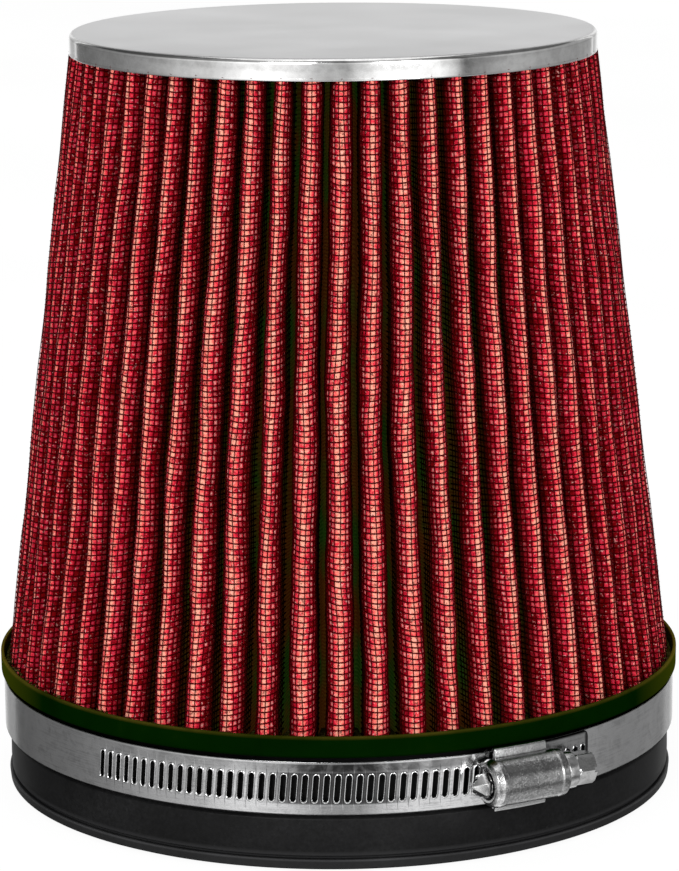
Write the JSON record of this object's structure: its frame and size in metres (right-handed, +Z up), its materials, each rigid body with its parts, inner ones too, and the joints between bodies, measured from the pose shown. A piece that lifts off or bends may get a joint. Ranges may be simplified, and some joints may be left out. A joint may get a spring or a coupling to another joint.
{
  "type": "cone air filter",
  "caption": "Clamp-on cone engine air filter: pleated oiled-gauze pack between wire screens, metal top cap, soft inlet neck and worm-drive hose clamp.",
  "frame": {"origin": "centre of the inlet mouth, in the plane of its lower edge", "axes": "+Z up the filter's axis from the inlet mouth to the top cap; -Y is the front, and the clamp's screw housing sits at the front, 28.92 degrees towards +X"},
  "size_m": [0.17, 0.172, 0.1873],
  "materials": {
    "cap_chrome": "bright plated, spun, satin-bright top face",
    "potting_resin": "cast resin, slightly glossy",
    "screen_wire": "woven wire with a dark coating stained by red oil",
    "oiled_gauze": "open cotton gauze wetted with red oil",
    "ring_green": "very dark green, glossy",
    "neck_rubber": "satin black moulding",
    "strap_steel": "rolled stainless strip, bright",
    "clamp_plated": "pressed stainless sheet, satin",
    "screw_steel": "bright zinc-plated screw"
  },
  "bodies": {
    "filter": {"top_cap": "cap_chrome", "cap_potting": "potting_resin", "outer_screen": "screen_wire", "gauze_ply_outer": "oiled_gauze", "gauze_ply_inner": "oiled_gauze", "inner_screen": "screen_wire", "base_pan": "ring_green", "base_potting": "potting_resin", "inlet_neck": "neck_rubber"},
    "clamp_body": {"clamp_housing": "clamp_plated", "clamp_saddle": "clamp_plated"},
    "strap": {"clamp_strap": "strap_steel"},
    "screw": {"clamp_screw": "screw_steel"}
  },
  "joints": [
    {"name": "clamp_swivel", "type": "hinge", "parent": "filter", "child": "clamp_body", "pos_m": [0, 0, 0.02075], "axis": [0, 0, 1], "continuous": true},
    {"name": "screw_turn", "type": "hinge", "parent": "clamp_body", "child": "screw", "pos_m": [0.04285, -0.07755, 0.02075], "axis": [0.8753, 0.4836, 0], "range_deg": [-1440, 1440]},
    {"name": "strap_draw", "type": "hinge", "parent": "clamp_body", "child": "strap", "pos_m": [0, 0, 0.02075], "axis": [0, 0, 1], "range_deg": [-6.9, 6.9]}
  ],
  "couplings": [
    {"joint": "strap_draw", "follows": "screw_turn", "ratio": -0.0047847}
  ]
}
